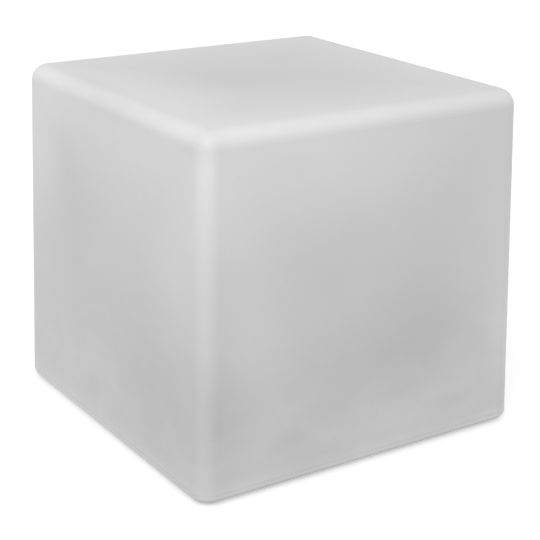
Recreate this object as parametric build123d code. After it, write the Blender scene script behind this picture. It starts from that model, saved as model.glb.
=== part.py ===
from build123d import *
import os
from math import atan2, cos, degrees, radians, sin, sqrt

# A cordless cube light: a hollow moulded cube stands on rubber feet, and a round light
# module turns into a ring in its underside. Millimetres, +Z up. The origin is on the
# floor under the middle of the cube.

# ---- cube shell ----
base_width = 430.0
top_width = 410.0            # less than the base, so the cube lifts off its mould
cube_height = 400.0          # floor to top face, feet included
shell_wall = 4.0
edge_radius = 20.0           # upright edges and top edges, outside
base_edge_radius = 10.0
parting_bead_height = 0.9
parting_bead_proud = 0.3
parting_bead_rise = 1.0       # above the rounded base edge
well_edge_radius = 2.0

# ---- feet ----
foot_proud = 2.0
foot_socket_depth = 2.0
foot_radius = 14.0
foot_inset = 46.0            # foot centre to the edge of the base
foot_gap = 0.2
foot_pad_width = 8.0         # thicker floor around each foot socket
foot_pad_height = 3.0
foot_edge_radius = 0.8

# ---- turning fit of the module in the ring ----
barrel_wall = 3.2
barrel_fit_gap = 0.1         # barrel in the cap's shoulder ring
turning_gap = 0.3
lug_count = 3
lug_reach = 3.3
lug_height = 4.7
lug_angle = 20.0
lug_gap = 0.4
lug_seat_gap = 0.2
lug_end_angle = 0.4
turn_range = 25.0
lug_ledge = 7.5              # ring underside to the floor of the channel
collar_wall = 5.6
collar_rise = 6.5            # collar above the channel
collar_gap = 1.0

# ---- lock ring and its seal ----
ring_flange_width = 16.0
ring_thickness = 4.0
gasket_thickness = 1.5
ring_screw_count = 6
ring_screw_radius = 1.95
ring_screw_length = 12.0
ring_head_radius = 3.8
ring_head_height = 2.4
screw_hole_gap = 0.25
insert_radius = 3.2
insert_length = 9.0
insert_boss_radius = 8.0
insert_boss_cover = 3.0

# ---- module cap ----
cap_recess = 3.0             # cap underside above the underside of the cube
cap_thickness = 3.5
cap_rim_gap = 1.0
cap_rim_wall = 3.0
cap_rim_lap = 3.0            # how far the rim reaches up past the ring's underside
cap_edge_radius = 1.5
well_gap = 4.0
shoulder_width = 8.0
shoulder_height = 6.2        # cap underside to the seat of the module seal
seal_thickness = 1.0
seal_gap = 0.3
seal_margin = 0.5

# ---- finger pockets ----
pocket_length = 76.0
pocket_width = 30.0
pocket_depth = 15.0
pocket_corner_radius = 4.0
pocket_wall = 2.5
grip_bar_width = 14.0
pocket_lip_radius = 1.2
grip_window_gap = 0.15       # grip cup in the window of the cap
grip_edge_radius = 0.4
grip_flange_width = 2.0
grip_flange_thickness = 1.5
grip_flange_margin = 0.5     # flange around the cradle posts

# ---- power button and its switch ----
button_clearance = 2.2       # flange of the grip cup to the button's guide
button_radius = 8.0
button_gap = 0.3
button_proud = 1.0
button_travel = 1.2
button_rim_width = 2.0
button_rim_height = 1.5
button_stem_radius = 3.0
button_edge_radius = 0.6
guide_wall = 2.0
guide_height = 8.0
button_seal_thickness = 1.0
switch_width = 6.0
switch_height = 3.5
plunger_radius = 1.7
plunger_gap = 0.1
plunger_length = 2.7
plunger_inside = 1.0
plunger_spare = 0.4          # room left above the pressed plunger

# ---- charging socket and its rubber plug ----
socket_clearance = 1.75      # flange of the grip cup to the pad round the recess
socket_recess_radius = 11.0
socket_recess_depth = 3.0
recess_floor = 2.5
anchor_thickness = 1.0
anchor_ring_radius = 8.0
socket_flange_radius = 7.0
socket_flange_thickness = 1.2
socket_neck_radius = 5.0
socket_neck_gap = 0.15
socket_bore_radius = 2.85
socket_bore_depth = 9.5
socket_length = 16.5         # flange face to the back of the socket
socket_pin_radius = 1.05
socket_pin_setback = 3.5
socket_pin_round = 0.6
socket_contact_radius = 0.5
socket_contact_offset = 2.6
nut_width = 14.0
nut_thickness = 3.0
plug_radius = 8.5
plug_thickness = 1.2
plug_gap = 0.2
plug_stem_length = 2.9
plug_stem_root_radius = 2.5
plug_stem_tip_radius = 1.9
plug_hinge_offset = 15.0     # socket centre to hinge line
plug_strap_width = 6.0
plug_knuckle_radius = 0.6
anchor_post_gap = 0.6
anchor_post_thickness = 2.0
recess_end_gap = 0.6

# ---- control board ----
board_gap = 3.5              # pocket roof to the board
board_thickness = 1.6
board_end_gap = 7.5          # end of the board to the inside of the barrel
board_width = 50.0
board_corner_radius = 3.0
board_post_radius = 3.0
board_post_inset = 5.0
board_screw_radius = 1.2
board_screw_length = 8.0
board_head_radius = 2.4
board_head_height = 1.6
component_room = 3.4         # board to the battery cradle

# ---- charge indicator ----
indicator_radius = 1.5
indicator_flange_radius = 2.5
indicator_flange_height = 1.0
indicator_x = -16.0
indicator_step = 8.0         # nearer the middle than the button
indicator_lamp_size = 2.0
indicator_lamp_width = 1.2
indicator_lamp_height = 0.8
indicator_gap = 0.3

# ---- battery ----
cell_radius = 9.25
cell_length = 65.0
cell_round = 0.9
cell_count = 3
cell_spacing = 0.6
cell_gap = 0.2
tab_thickness = 0.3
tab_width = 7.0
tab_solder_rise = 1.7        # lead joint above the middle of the tab
wrap_thickness = 0.4
wrap_overhang = 0.2
cradle_floor = 2.0
cradle_wall = 2.0
cradle_wall_height = 9.0
cradle_end_height = 6.0
cradle_gap = 0.4
cradle_ear_length = 9.0
cradle_ear_width = 12.0
cradle_post_radius = 3.0
cradle_post_offset = 22.0

# ---- LED deck ----
pack_headroom = 4.0
spreader_thickness = 2.0
spreader_gap = 0.5
deck_ledge_width = 12.7
deck_ledge_thickness = 4.0
pillar_gap = 3.4             # cradle ear to pillar
pillar_y = 19.2
spreader_rim = 8.5           # pillar centre to the edge of the spreader
pillar_radius = 4.0
heat_pad_thickness = 0.5
heat_pad_margin = 3.0
led_board_thickness = 1.6
led_board_margin = 3.0
led_row_spacing = 19.0
inner_led_count = 8
outer_led_inset = 12.5       # edge of the LED board to the outer row
outer_led_count = 16
led_width = 5.0
led_height = 1.6
led_lens_radius = 2.0
led_lens_height = 0.3
deck_screw_length = 12.0
lead_hole_inset = 19.5       # edge of the spreader to the lead hole
lead_hole_radius = 6.0
grommet_wall = 1.2
grommet_lip = 1.0

# ---- clear dome ----
dome_flange_width = 9.3
dome_height = 26.0
dome_wall = 2.0
dome_flange_thickness = 2.5
dome_edge_gap = 0.4
dome_seal_thickness = 1.2
dome_ring_thickness = 2.5
dome_ring_gap = 0.6
dome_screw_count = 6
dome_screw_inset = 4.1
dome_screw_radius = 1.45
dome_screw_length = 13.0
dome_head_radius = 2.8
dome_head_height = 1.8
dome_boss_radius = 3.6
dome_boss_depth = 8.0
dome_edge_radius = 0.6

# ---- wires and plugs on them ----
wire_diameter = 1.3
wire_bend_radius = 5.0
led_wire_count = 4
led_wire_pitch = 2.0
led_wire_run = 14.0          # along the LED board, hole to connector
led_wire_height = 2.6        # above the LED board
header_width = 10.0
header_depth = 6.0
header_height = 6.0
plug_body_height = 5.0
lead_header_gap = 7.3        # side of the cradle to the middle of the header
battery_header_x = 12.0
battery_header_gap = 10.3
battery_wire_pitch = 2.6
battery_wire_gap = 4.8       # wire to pillar
battery_wire_rise = 3.0      # from the cell tab up to the run beside the pack

# ---- screws, shared by all of them ----
head_round_share = 0.35      # of the head's height
slot_depth_share = 0.5
slot_length_share = 1.1      # of the head's radius
slot_width_share = 0.25
screw_gap = 0.05             # shank to the hole that it bites in
hole_spare = 0.1             # left under a screw's tip

# ---- small parts on the boards ----
capacitor_radius = 3.2
capacitor_height = 7.0
capacitor_round = 0.5
capacitor_x = 15.0
capacitor_gap = 12.8         # side of the cradle to the middle of a capacitor
infrared_length = 6.0
infrared_depth = 4.0
infrared_height = 5.0
infrared_eye_radius = 1.9
# length, width, height, x and y of each chip, coil and regulator on the control board
board_chip_list = [
    (7.0, 7.0, 1.2, 0.0, -18.0),
    (5.0, 4.0, 1.4, 12.0, -24.0),
    (5.0, 4.0, 1.4, -12.0, -24.0),
    (6.5, 6.5, 2.8, -12.0, 6.0),
    (5.0, 6.0, 1.5, 10.0, 6.0),
    (3.0, 1.6, 0.8, 4.0, -8.0),
    (3.0, 1.6, 0.8, -4.0, -8.0),
    (3.0, 1.6, 0.8, 14.0, 18.0),
    (3.0, 1.6, 0.8, 0.0, 24.0),
]

# ---- heights, from the floor up ----
base_z = foot_proud
cap_under_z = base_z + cap_recess
cap_top_z = cap_under_z + cap_thickness
shoulder_z = cap_under_z + shoulder_height
ring_under_z = shoulder_z + seal_thickness + seal_gap
ring_top_z = ring_under_z + ring_thickness
well_roof_z = ring_top_z + gasket_thickness
roof_top_z = well_roof_z + shell_wall
channel_low_z = ring_under_z + lug_ledge
channel_high_z = channel_low_z + lug_seat_gap + lug_height + lug_gap
collar_top_z = channel_high_z + collar_rise
pocket_roof_z = cap_under_z + pocket_depth + pocket_wall
board_low_z = pocket_roof_z + board_gap
board_top_z = board_low_z + board_thickness
cradle_low_z = board_top_z + component_room
cell_axis_z = cradle_low_z + cradle_floor + wrap_thickness + cell_gap + cell_radius
pack_top_z = cell_axis_z + cell_radius + wrap_thickness
spreader_low_z = pack_top_z + pack_headroom
spreader_top_z = spreader_low_z + spreader_thickness
heat_pad_top_z = spreader_top_z + heat_pad_thickness
led_board_top_z = heat_pad_top_z + led_board_thickness
dome_flange_low_z = spreader_top_z + dome_seal_thickness
dome_flange_top_z = dome_flange_low_z + dome_flange_thickness
dome_ring_top_z = dome_flange_top_z + dome_ring_thickness

# ---- battery pack, and the barrel that holds it ----
cell_pitch = 2 * cell_radius + cell_spacing
pack_width = cell_pitch * (cell_count - 1) + 2 * cell_radius + 2 * wrap_thickness
cradle_length = cell_length + 2 * (tab_thickness + cradle_gap + cradle_wall)
cradle_width = pack_width + 2 * (cradle_gap + cradle_wall)
cradle_post_x = (cradle_length + cradle_ear_length) / 2
cradle_reach = cradle_post_x + (cradle_ear_length + cradle_wall) / 2
pillar_x = cradle_reach + pillar_gap + pillar_radius
spreader_radius = sqrt(pillar_x ** 2 + pillar_y ** 2) + spreader_rim
deck_inner_radius = spreader_radius + spreader_gap
barrel_radius = deck_inner_radius + deck_ledge_width

# ---- radii, from the module's barrel outwards ----
barrel_inner_radius = barrel_radius - barrel_wall
ring_bore_radius = barrel_radius + turning_gap
lug_radius = barrel_radius + lug_reach
channel_radius = lug_radius + lug_gap
collar_radius = channel_radius + collar_wall
opening_radius = collar_radius + collar_gap
ring_radius = opening_radius + ring_flange_width
ring_screw_circle = opening_radius + ring_flange_width / 2
cap_rim_inner_radius = ring_radius + cap_rim_gap
cap_radius = cap_rim_inner_radius + cap_rim_wall
well_radius = cap_radius + well_gap
shoulder_radius = barrel_radius + shoulder_width
led_board_radius = spreader_radius - led_board_margin
heat_pad_radius = spreader_radius - heat_pad_margin
dome_edge = barrel_radius - dome_edge_gap
dome_radius = dome_edge - dome_flange_width
dome_screw_circle = barrel_radius - dome_screw_inset
outer_led_circle = led_board_radius - outer_led_inset
inner_led_circle = outer_led_circle - led_row_spacing
lead_hole_offset = spreader_radius - lead_hole_inset
grip_half_length = pocket_length / 2 + pocket_wall
grip_half_width = grip_bar_width / 2 + pocket_width + pocket_wall
post_reach = cradle_post_x + cradle_post_radius + grip_flange_margin
flange_half_length = max(grip_half_length + grip_flange_width, post_reach)
flange_half_width = grip_half_width + grip_flange_width
button_rim_radius = button_radius + button_rim_width
guide_inner_radius = button_rim_radius + button_gap
guide_radius = guide_inner_radius + guide_wall
button_offset = flange_half_width + button_clearance + guide_radius
recess_pad_width = 2 * socket_recess_radius + cap_thickness
socket_offset = flange_half_width + socket_clearance + recess_pad_width / 2
indicator_y = indicator_step - button_offset
board_length = 2 * (barrel_inner_radius - board_end_gap)
lead_header_y = cradle_width / 2 + lead_header_gap
battery_header_y = -cradle_width / 2 - battery_header_gap
capacitor_y = cradle_width / 2 + capacitor_gap
capacitor_places = [(capacitor_x, capacitor_y), (-capacitor_x, -capacitor_y)]

shell_height = cube_height - base_z
draft = (base_width - top_width) / 2 / shell_height
wall_across = shell_wall * sqrt(1 + draft * draft)
foot_centre = base_width / 2 - foot_inset
switch_low_z = board_low_z - switch_height
plunger_tip_z = switch_low_z + plunger_inside - plunger_length
recess_top_z = cap_under_z + socket_recess_depth
anchor_low_z = recess_top_z - anchor_thickness
socket_face_z = anchor_low_z - socket_flange_thickness
plug_top_z = socket_face_z - plug_gap
plug_low_z = plug_top_z - plug_thickness
plug_hinge_z = plug_low_z + plug_thickness / 2
anchor_post_x = plug_hinge_offset + plug_knuckle_radius + anchor_post_gap
recess_length = anchor_post_x + anchor_post_thickness + recess_end_gap
dome_outer_sphere = (dome_radius ** 2 + dome_height ** 2) / (2 * dome_height)


def disc(radius, low, high, x=0.0, y=0.0):
    on_base = (Align.CENTER, Align.CENTER, Align.MIN)
    return Pos(x, y, low) * Cylinder(radius, high - low, align=on_base)


def tube(outer, inner, low, high, x=0.0, y=0.0):
    return disc(outer, low, high, x, y) - disc(inner, low, high, x, y)


def block(length, width, low, high, x=0.0, y=0.0):
    on_base = (Align.CENTER, Align.CENTER, Align.MIN)
    return Pos(x, y, low) * Box(length, width, high - low, align=on_base)


def rounded_block(length, width, radius, low, high, x=0.0, y=0.0):
    outline = Pos(x, y, low) * RectangleRounded(length, width, radius)
    return extrude(outline, high - low)


def around(count, radius, start=0.0):
    places = []
    for index in range(count):
        angle = radians(start + 360.0 * index / count)
        places.append((radius * cos(angle), radius * sin(angle)))
    return places


def four_corners(x, y):
    return [(x, y), (-x, y), (x, -y), (-x, -y)]


def group(solids):
    return Compound(children=list(solids))


def ring_sector(outer, inner, low, high, first_angle, last_angle):
    middle = (outer + inner) / 2
    section = Plane.XZ * (Pos(middle, (low + high) / 2) * Rectangle(outer - inner, high - low))
    return Rot(0, 0, first_angle) * revolve(section, Axis.Z, last_angle - first_angle)


def screw(x, y, seat, length, shank, head_radius, head_height, upwards):
    direction = 1 if upwards else -1
    tip = seat + direction * length
    shank_body = disc(shank, min(seat, tip), max(seat, tip), x, y)
    head_end = seat - direction * head_height
    head_low = min(seat, head_end)
    head = disc(head_radius, head_low, head_low + head_height, x, y)
    outer_edge = head.edges().sort_by(Axis.Z)
    edge = outer_edge[0] if upwards else outer_edge[-1]
    head = fillet(edge, head_height * head_round_share)
    slot_depth = head_height * slot_depth_share
    slot_low = head_end if upwards else head_end - slot_depth
    long_side = head_radius * slot_length_share
    short_side = head_radius * slot_width_share
    cross = block(long_side, short_side, slot_low, slot_low + slot_depth, x, y)
    cross += block(short_side, long_side, slot_low, slot_low + slot_depth, x, y)
    return shank_body + head - cross


def wire(points, radius):
    corners = len(points) - 2
    path = FilletPolyline(*points, radius=[radius] * corners)
    start = Plane(origin=path @ 0, z_dir=path % 0)
    return sweep(start * Circle(wire_diameter / 2), path=path)


# ---- cube shell ----
def width_at(z):
    return base_width - 2 * draft * (z - base_z)


def drafted_block(low, high, inset, upright_radius, low_radius):
    low_side = width_at(low) - 2 * inset
    high_side = width_at(high) - 2 * inset
    low_outline = Pos(0, 0, low) * Rectangle(low_side, low_side)
    high_outline = Pos(0, 0, high) * Rectangle(high_side, high_side)
    body = loft([low_outline, high_outline], ruled=True)
    levels = body.edges().group_by(Axis.Z)
    body = fillet(levels[1] + levels[-1], upright_radius)
    return fillet(body.edges().group_by(Axis.Z)[0], low_radius)


def parting_bead():
    low = base_z + base_edge_radius + parting_bead_rise
    side = width_at(low) + 2 * parting_bead_proud
    radius = edge_radius + parting_bead_proud
    return rounded_block(side, side, radius, low, low + parting_bead_height)


def ring_screw_places():
    return around(ring_screw_count, ring_screw_circle, start=180.0 / ring_screw_count)


def foot_places():
    return four_corners(foot_centre, foot_centre)


def make_cube_shell():
    outside = drafted_block(base_z, cube_height, 0.0, edge_radius, base_edge_radius)
    outside += parting_bead()
    inside_radius = edge_radius - shell_wall
    inside_low = base_z + shell_wall
    inside_high = cube_height - shell_wall
    floor_radius = base_edge_radius - shell_wall
    inside = drafted_block(inside_low, inside_high, wall_across, inside_radius, floor_radius)
    shell = outside - inside
    shell += disc(well_radius + shell_wall, base_z, roof_top_z)
    boss_top = well_roof_z + insert_length + insert_boss_cover
    for x, y in ring_screw_places():
        shell += disc(insert_boss_radius, well_roof_z, boss_top, x, y)
    pad_top = inside_low + foot_pad_height
    for x, y in foot_places():
        shell += disc(foot_radius + foot_pad_width, base_z + foot_socket_depth, pad_top, x, y)
    shell -= disc(well_radius, base_z, well_roof_z)
    shell -= disc(opening_radius, base_z, roof_top_z)
    for x, y in ring_screw_places():
        shell -= disc(insert_radius, well_roof_z, well_roof_z + insert_length, x, y)
    for x, y in foot_places():
        shell -= disc(foot_radius + foot_gap, base_z, base_z + foot_socket_depth, x, y)
    mouth = shell.edges().filter_by(GeomType.CIRCLE).group_by(Axis.Z)[0]
    mouth = [edge for edge in mouth if edge.radius == well_radius]
    return fillet(mouth, well_edge_radius)


def make_shell_inserts():
    inserts = []
    for x, y in ring_screw_places():
        bore = ring_screw_radius + screw_gap
        inserts.append(tube(insert_radius, bore, well_roof_z, well_roof_z + insert_length, x, y))
    return group(inserts)


def make_rubber_feet():
    feet = []
    for x, y in foot_places():
        foot = disc(foot_radius, 0, base_z + foot_socket_depth, x, y)
        feet.append(fillet(foot.edges().sort_by(Axis.Z)[0], foot_edge_radius))
    return group(feet)


# ---- lock ring, its gasket and screws ----
def make_ring_gasket():
    gasket = tube(ring_radius, opening_radius, ring_top_z, well_roof_z)
    for x, y in ring_screw_places():
        gasket -= disc(ring_screw_radius + screw_hole_gap, ring_top_z, well_roof_z, x, y)
    return gasket


def lug_starts():
    return [360.0 * index / lug_count for index in range(lug_count)]


def make_lock_ring():
    ring = tube(ring_radius, ring_bore_radius, ring_under_z, ring_top_z)
    ring += tube(collar_radius, ring_bore_radius, ring_under_z, collar_top_z)
    half_lug = lug_angle / 2 + lug_end_angle
    cut_inner = ring_bore_radius - lug_reach
    for start in lug_starts():
        locked_end = start + half_lug
        open_end = start - turn_range - half_lug
        entry_end = start - turn_range + half_lug
        ring -= ring_sector(channel_radius, cut_inner, channel_low_z, channel_high_z,
                            open_end, locked_end)
        ring -= ring_sector(channel_radius, cut_inner, ring_under_z, channel_high_z,
                            open_end, entry_end)
    for x, y in ring_screw_places():
        ring -= disc(ring_screw_radius + screw_hole_gap, ring_under_z, ring_top_z, x, y)
    return ring


def make_ring_screws():
    screws = []
    for x, y in ring_screw_places():
        screws.append(screw(x, y, ring_under_z, ring_screw_length, ring_screw_radius,
                            ring_head_radius, ring_head_height, True))
    return group(screws)


# ---- module base: cap, rim, shoulder ring and posts ----
def pocket_places():
    offset = grip_bar_width / 2 + pocket_width / 2
    return [(0.0, offset), (0.0, -offset)]


def board_post_places():
    return four_corners(board_width / 2 - board_post_inset, board_length / 2 - board_post_inset)


def cradle_post_places():
    return four_corners(cradle_post_x, cradle_post_offset)


def pillar_places():
    return four_corners(pillar_x, pillar_y)


def dome_screw_places():
    return around(dome_screw_count, dome_screw_circle, start=180.0 / dome_screw_count)


def module_cap():
    cap = disc(cap_radius, cap_under_z, cap_top_z)
    cap = fillet(cap.edges().sort_by(Axis.Z)[0], cap_edge_radius)
    cap += tube(cap_radius, cap_rim_inner_radius, cap_top_z, ring_under_z + cap_rim_lap)
    return cap + tube(shoulder_radius, barrel_radius + barrel_fit_gap, cap_top_z, shoulder_z)


def finger_pocket(x, y):
    return rounded_block(pocket_length, pocket_width, pocket_corner_radius,
                         cap_under_z, cap_under_z + pocket_depth, x, y)


def finger_pocket_wall(x, y):
    length = pocket_length + 2 * pocket_wall
    width = pocket_width + 2 * pocket_wall
    corner_radius = pocket_corner_radius + pocket_wall
    return rounded_block(length, width, corner_radius, cap_under_z + cap_edge_radius,
                         pocket_roof_z, x, y)


def socket_recess():
    recess = disc(socket_recess_radius, cap_under_z, recess_top_z, 0.0, socket_offset)
    slot_width = plug_strap_width + 2 * recess_end_gap
    return recess + block(recess_length, slot_width, cap_under_z, recess_top_z,
                          recess_length / 2, socket_offset)


def socket_recess_pad():
    length = recess_length + socket_recess_radius + 2 * cap_thickness
    middle = (recess_length - socket_recess_radius) / 2
    pad_low = cap_top_z - cap_thickness / 2
    return rounded_block(length, recess_pad_width, cap_thickness, pad_low, recess_top_z + recess_floor,
                         middle, socket_offset)


def make_module_base():
    base = module_cap()
    base += socket_recess_pad()
    base += tube(guide_radius, guide_inner_radius, cap_top_z, cap_top_z + guide_height,
                 0.0, -button_offset)
    for x, y in board_post_places():
        base += disc(board_post_radius, cap_top_z, board_low_z, x, y)
    for x, y in pillar_places():
        base += disc(pillar_radius, cap_top_z, spreader_low_z, x, y)
    base -= grip_outline(grip_window_gap, cap_under_z, cap_top_z)
    base -= disc(button_radius + button_gap, cap_under_z, cap_top_z, 0.0, -button_offset)
    base -= socket_recess()
    base -= disc(socket_neck_radius + socket_neck_gap, recess_top_z, recess_top_z + recess_floor,
                 0.0, socket_offset)
    base -= disc(indicator_radius + screw_gap, cap_under_z, cap_top_z, indicator_x, indicator_y)
    return base - module_base_screw_holes()


def module_base_screw_holes():
    holes = []
    for x, y in board_post_places():
        hole_low = board_top_z - board_screw_length - hole_spare
        holes.append(disc(board_screw_radius + screw_gap, hole_low, board_low_z, x, y))
    for x, y in pillar_places():
        hole_low = led_board_top_z - deck_screw_length - hole_spare
        holes.append(disc(dome_screw_radius + screw_gap, hole_low, spreader_low_z, x, y))
    return group(holes)


# ---- grip cup: two finger pockets, the bar between them and the cradle's posts ----
def grip_outline(margin, low, high):
    length = 2 * (grip_half_length + margin)
    width = 2 * (grip_half_width + margin)
    return rounded_block(length, width, pocket_corner_radius + pocket_wall + margin, low, high)


def make_grip_cup():
    cup = grip_outline(0.0, cap_under_z, cap_top_z)
    cup = fillet(cup.edges().group_by(Axis.Z)[0], grip_edge_radius)
    flange_corner = pocket_corner_radius + pocket_wall + grip_flange_width
    cup += rounded_block(2 * flange_half_length, 2 * flange_half_width, flange_corner,
                         cap_top_z, cap_top_z + grip_flange_thickness)
    for x, y in pocket_places():
        cup += finger_pocket_wall(x, y)
    for x, y in cradle_post_places():
        cup += disc(cradle_post_radius, cap_top_z, cradle_low_z, x, y)
    for x, y in pocket_places():
        cup -= finger_pocket(x, y)
    underside = cup.faces().sort_by(Axis.Z)[0]
    lips = [edge for wire in underside.inner_wires() for edge in wire.edges()]
    cup = fillet(lips, pocket_lip_radius)
    hole_low = cradle_low_z + cradle_floor - board_screw_length - hole_spare
    for x, y in cradle_post_places():
        cup -= disc(board_screw_radius + screw_gap, hole_low, cradle_low_z, x, y)
    return cup


# ---- module barrel: tube, ledge, lugs and dome screw bosses ----
def make_module_barrel():
    barrel = tube(barrel_radius, barrel_inner_radius, cap_top_z, spreader_top_z)
    ledge_low_z = spreader_top_z - deck_ledge_thickness
    barrel += tube(barrel_radius, deck_inner_radius, ledge_low_z, spreader_top_z)
    lug_low_z = channel_low_z + lug_seat_gap
    lug_root = barrel_inner_radius + barrel_wall / 2
    for start in lug_starts():
        barrel += ring_sector(lug_radius, lug_root, lug_low_z, lug_low_z + lug_height,
                              start - lug_angle / 2, start + lug_angle / 2)
    for x, y in dome_screw_places():
        boss = disc(dome_boss_radius, ledge_low_z - dome_boss_depth, ledge_low_z, x, y)
        barrel += boss & disc(barrel_radius, cap_top_z, spreader_top_z)
    for x, y in dome_screw_places():
        hole_low = dome_ring_top_z - dome_screw_length - hole_spare
        barrel -= disc(dome_screw_radius + screw_gap, hole_low, spreader_top_z, x, y)
    return barrel


def make_module_seal():
    inner = barrel_radius + seal_margin
    outer = shoulder_radius - seal_margin
    return tube(outer, inner, shoulder_z, shoulder_z + seal_thickness)


# ---- power button, its seal and the switch under the board ----
def make_power_button():
    face_z = cap_under_z - button_proud
    rim_low_z = cap_top_z
    rim_high_z = rim_low_z + button_rim_height
    button = disc(button_radius, face_z, rim_high_z, 0.0, -button_offset)
    button = fillet(button.edges().sort_by(Axis.Z)[0], button_edge_radius)
    button += disc(button_rim_radius, rim_low_z, rim_high_z, 0.0, -button_offset)
    return button + disc(button_stem_radius, rim_high_z, plunger_tip_z, 0.0, -button_offset)


def make_button_seal():
    low = cap_top_z + guide_height
    return tube(guide_radius, button_stem_radius + button_gap, low,
                low + button_seal_thickness, 0.0, -button_offset)


def make_switch_body():
    body = block(switch_width, switch_width, switch_low_z, board_low_z, 0.0, -button_offset)
    bore_high_z = switch_low_z + plunger_inside + button_travel + plunger_spare
    return body - disc(plunger_radius + plunger_gap, switch_low_z, bore_high_z, 0.0, -button_offset)


def make_switch_plunger():
    return disc(plunger_radius, plunger_tip_z, plunger_tip_z + plunger_length, 0.0, -button_offset)


# ---- charging socket, nut, contacts and rubber plug ----
def make_charge_socket():
    back_z = socket_face_z + socket_length
    neck_top_z = recess_top_z + recess_floor + nut_thickness + cap_thickness
    body = disc(socket_flange_radius, socket_face_z, anchor_low_z, 0.0, socket_offset)
    body += disc(socket_neck_radius, anchor_low_z, neck_top_z, 0.0, socket_offset)
    body += disc(socket_neck_radius - socket_neck_gap, neck_top_z, back_z, 0.0, socket_offset)
    bore = disc(socket_bore_radius, socket_face_z, socket_face_z + socket_bore_depth, 0.0, socket_offset)
    return body - bore


def make_socket_pin():
    pin = disc(socket_pin_radius, socket_face_z + socket_pin_setback, socket_face_z + socket_bore_depth,
               0.0, socket_offset)
    return fillet(pin.edges().sort_by(Axis.Z)[0], socket_pin_round)


def make_socket_nut():
    low = recess_top_z + recess_floor
    outline = Pos(0, socket_offset, low) * RegularPolygon(nut_width / 2, 6, major_radius=False)
    nut = extrude(outline, nut_thickness)
    return nut - disc(socket_neck_radius + screw_gap, low, low + nut_thickness, 0.0, socket_offset)


def make_socket_contacts():
    low = socket_face_z + socket_length
    contacts = []
    for x in (-socket_contact_offset, socket_contact_offset):
        contacts.append(disc(socket_contact_radius, low, board_top_z + hole_spare, x, socket_offset))
    return group(contacts)


def make_plug_anchor():
    washer = disc(anchor_ring_radius, anchor_low_z, recess_top_z, 0.0, socket_offset)
    tail_end = anchor_post_x + anchor_post_thickness
    washer += block(tail_end, plug_strap_width, anchor_low_z, recess_top_z, tail_end / 2, socket_offset)
    post_x = anchor_post_x + anchor_post_thickness / 2
    washer += block(anchor_post_thickness, plug_strap_width, plug_low_z, anchor_low_z,
                    post_x, socket_offset)
    hole = disc(socket_neck_radius + socket_neck_gap, anchor_low_z, recess_top_z, 0.0, socket_offset)
    return washer - hole


def make_charge_plug():
    plug = disc(plug_radius, plug_low_z, plug_top_z, 0.0, socket_offset)
    plug += block(plug_hinge_offset, plug_strap_width, plug_low_z, plug_top_z,
                  plug_hinge_offset / 2, socket_offset)
    knuckle_line = Pos(plug_hinge_offset, socket_offset, plug_hinge_z) * Rot(90, 0, 0)
    plug += knuckle_line * Cylinder(plug_knuckle_radius, plug_strap_width)
    on_base = (Align.CENTER, Align.CENTER, Align.MIN)
    stem = Cone(plug_stem_root_radius, plug_stem_tip_radius, plug_stem_length, align=on_base)
    return plug + Pos(0, socket_offset, plug_top_z) * stem


# ---- control board and what is soldered to it ----
def make_control_board():
    board = rounded_block(board_width, board_length, board_corner_radius, board_low_z, board_top_z)
    for x, y in board_post_places():
        board -= disc(board_screw_radius + screw_hole_gap, board_low_z, board_top_z, x, y)
    for x in (-socket_contact_offset, socket_contact_offset):
        board -= disc(socket_contact_radius + screw_gap, board_low_z, board_top_z, x, socket_offset)
    return board


def make_board_screws():
    screws = []
    for x, y in board_post_places():
        screws.append(screw(x, y, board_top_z, board_screw_length, board_screw_radius,
                            board_head_radius, board_head_height, False))
    return group(screws)


def make_board_chips():
    chips = []
    for length, width, height, x, y in board_chip_list:
        chips.append(block(length, width, board_top_z, board_top_z + height, x, y))
    return group(chips)


def make_board_capacitors():
    capacitors = []
    for x, y in capacitor_places:
        can = disc(capacitor_radius, board_top_z, board_top_z + capacitor_height, x, y)
        capacitors.append(fillet(can.edges().sort_by(Axis.Z)[-1], capacitor_round))
    return group(capacitors)


def make_indicator_lens():
    top_z = board_low_z - indicator_lamp_height - indicator_gap
    lens = disc(indicator_radius, cap_under_z, top_z, indicator_x, indicator_y)
    return lens + disc(indicator_flange_radius, cap_top_z, cap_top_z + indicator_flange_height,
                       indicator_x, indicator_y)


def make_indicator_lamp():
    return block(indicator_lamp_size, indicator_lamp_width, board_low_z - indicator_lamp_height,
                 board_low_z, indicator_x, indicator_y)


# ---- battery pack in its cradle ----
def cell_rows():
    first = -cell_pitch * (cell_count - 1) / 2
    return [first + cell_pitch * index for index in range(cell_count)]


def make_battery_cells():
    cells = []
    for y in cell_rows():
        cell = Pos(0, y, cell_axis_z) * Rot(0, 90, 0) * Cylinder(cell_radius, cell_length)
        cells.append(fillet(cell.edges().filter_by(GeomType.CIRCLE), cell_round))
    return group(cells)


def make_cell_tabs():
    tabs = []
    span = cell_pitch * (cell_count - 1) + tab_width
    for side in (-1, 1):
        x = side * (cell_length + tab_thickness) / 2
        low = cell_axis_z - tab_width / 2
        tabs.append(block(tab_thickness, span, low, low + tab_width, x, 0.0))
    return group(tabs)


def make_battery_wrap():
    length = cell_length - 2 * wrap_overhang
    outer_side = 2 * (cell_radius + wrap_thickness)
    outer = RectangleRounded(outer_side, pack_width, cell_radius)
    inner = RectangleRounded(2 * cell_radius + cell_gap, pack_width - 2 * wrap_thickness + cell_gap,
                             cell_radius - wrap_thickness)
    start = Pos(-length / 2, 0, cell_axis_z) * Rot(0, 90, 0)
    return extrude(start * (outer - inner), length)


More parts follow.
